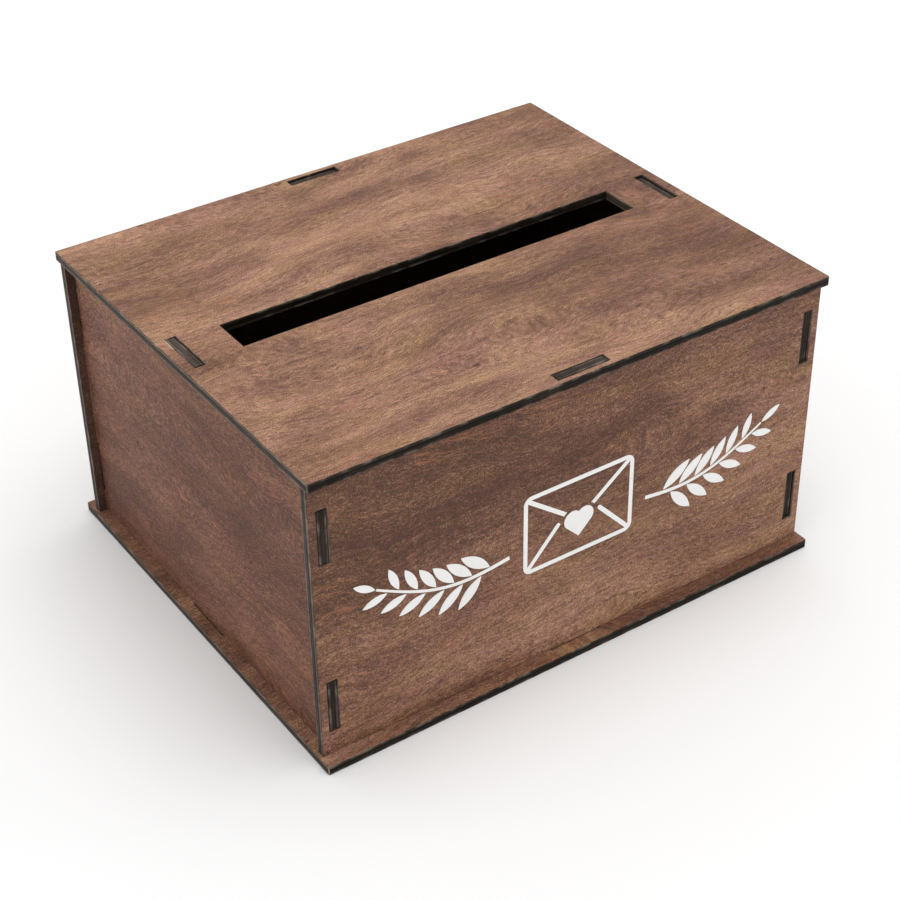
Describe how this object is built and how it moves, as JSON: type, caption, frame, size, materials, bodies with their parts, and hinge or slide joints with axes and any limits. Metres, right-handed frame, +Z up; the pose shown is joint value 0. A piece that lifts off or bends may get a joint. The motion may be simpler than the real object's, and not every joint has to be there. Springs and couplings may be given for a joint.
{
  "type": "wedding card box",
  "caption": "Rectangular plywood card box: tab-and-mortise walls on a projecting base, a flat lift-off lid with a long card slot, and a white motif on the front.",
  "frame": {"origin": "middle of the underside of the base panel, on the surface that the box stands on", "axes": "+Z up; X runs left to right along the box's width and the card slot; the front panel with the motif faces -Y"},
  "size_m": [0.255, 0.217, 0.14],
  "materials": {
    "stained_plywood": "matte, brown stained, with dark laser-cut edges",
    "white_film": "matte"
  },
  "bodies": {
    "box": {"base_panel": "stained_plywood", "front_panel": "stained_plywood", "back_panel": "stained_plywood", "left_panel": "stained_plywood", "right_panel": "stained_plywood", "motif_envelope": "white_film", "motif_heart": "white_film", "motif_stem_left": "white_film", "motif_stem_right": "white_film", "motif_leaves_left": "white_film", "motif_leaves_right": "white_film"},
    "lid": {"lid_panel": "stained_plywood"}
  },
  "joints": [
    {"name": "lid_lift", "type": "slide", "parent": "box", "child": "lid", "axis": [0, 0, 1], "range_m": [0, 0.08]}
  ]
}
